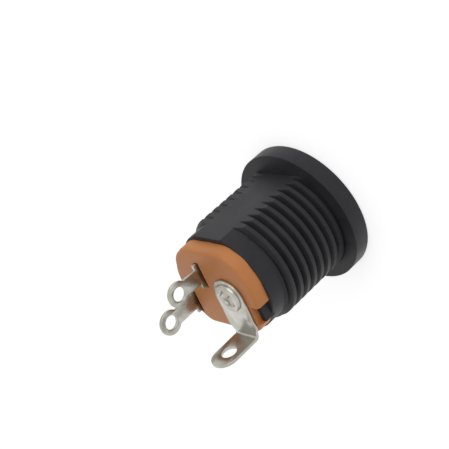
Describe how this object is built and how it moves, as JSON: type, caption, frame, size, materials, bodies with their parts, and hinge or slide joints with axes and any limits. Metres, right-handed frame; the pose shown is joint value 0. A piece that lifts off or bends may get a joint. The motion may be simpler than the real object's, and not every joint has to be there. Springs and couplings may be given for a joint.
{
  "type": "dc barrel jack",
  "caption": "Panel-mount DC barrel jack with a threaded plastic barrel, a flange, an off-centre socket with a centre pin, and solder terminals on a tan insulator.",
  "frame": {"origin": "centre of the flange's front face, on the axis of the threaded barrel", "axes": "+Z along the threaded barrel towards the solder terminals; -Y out of the flat on the thread; the socket's axis lies at -X of the barrel's axis"},
  "size_m": [0.014, 0.014, 0.0181],
  "materials": {
    "black_plastic": "moulded, fine spark-eroded grain",
    "tan_plastic": "moulded, satin",
    "plating": "bright tin-nickel plate over brass"
  },
  "bodies": {
    "root": {"housing": "black_plastic", "insulator": "tan_plastic", "centre_pin": "plating", "pin_lug": "plating", "sleeve_contact": "plating", "switch_contact": "plating"}
  },
  "joints": []
}
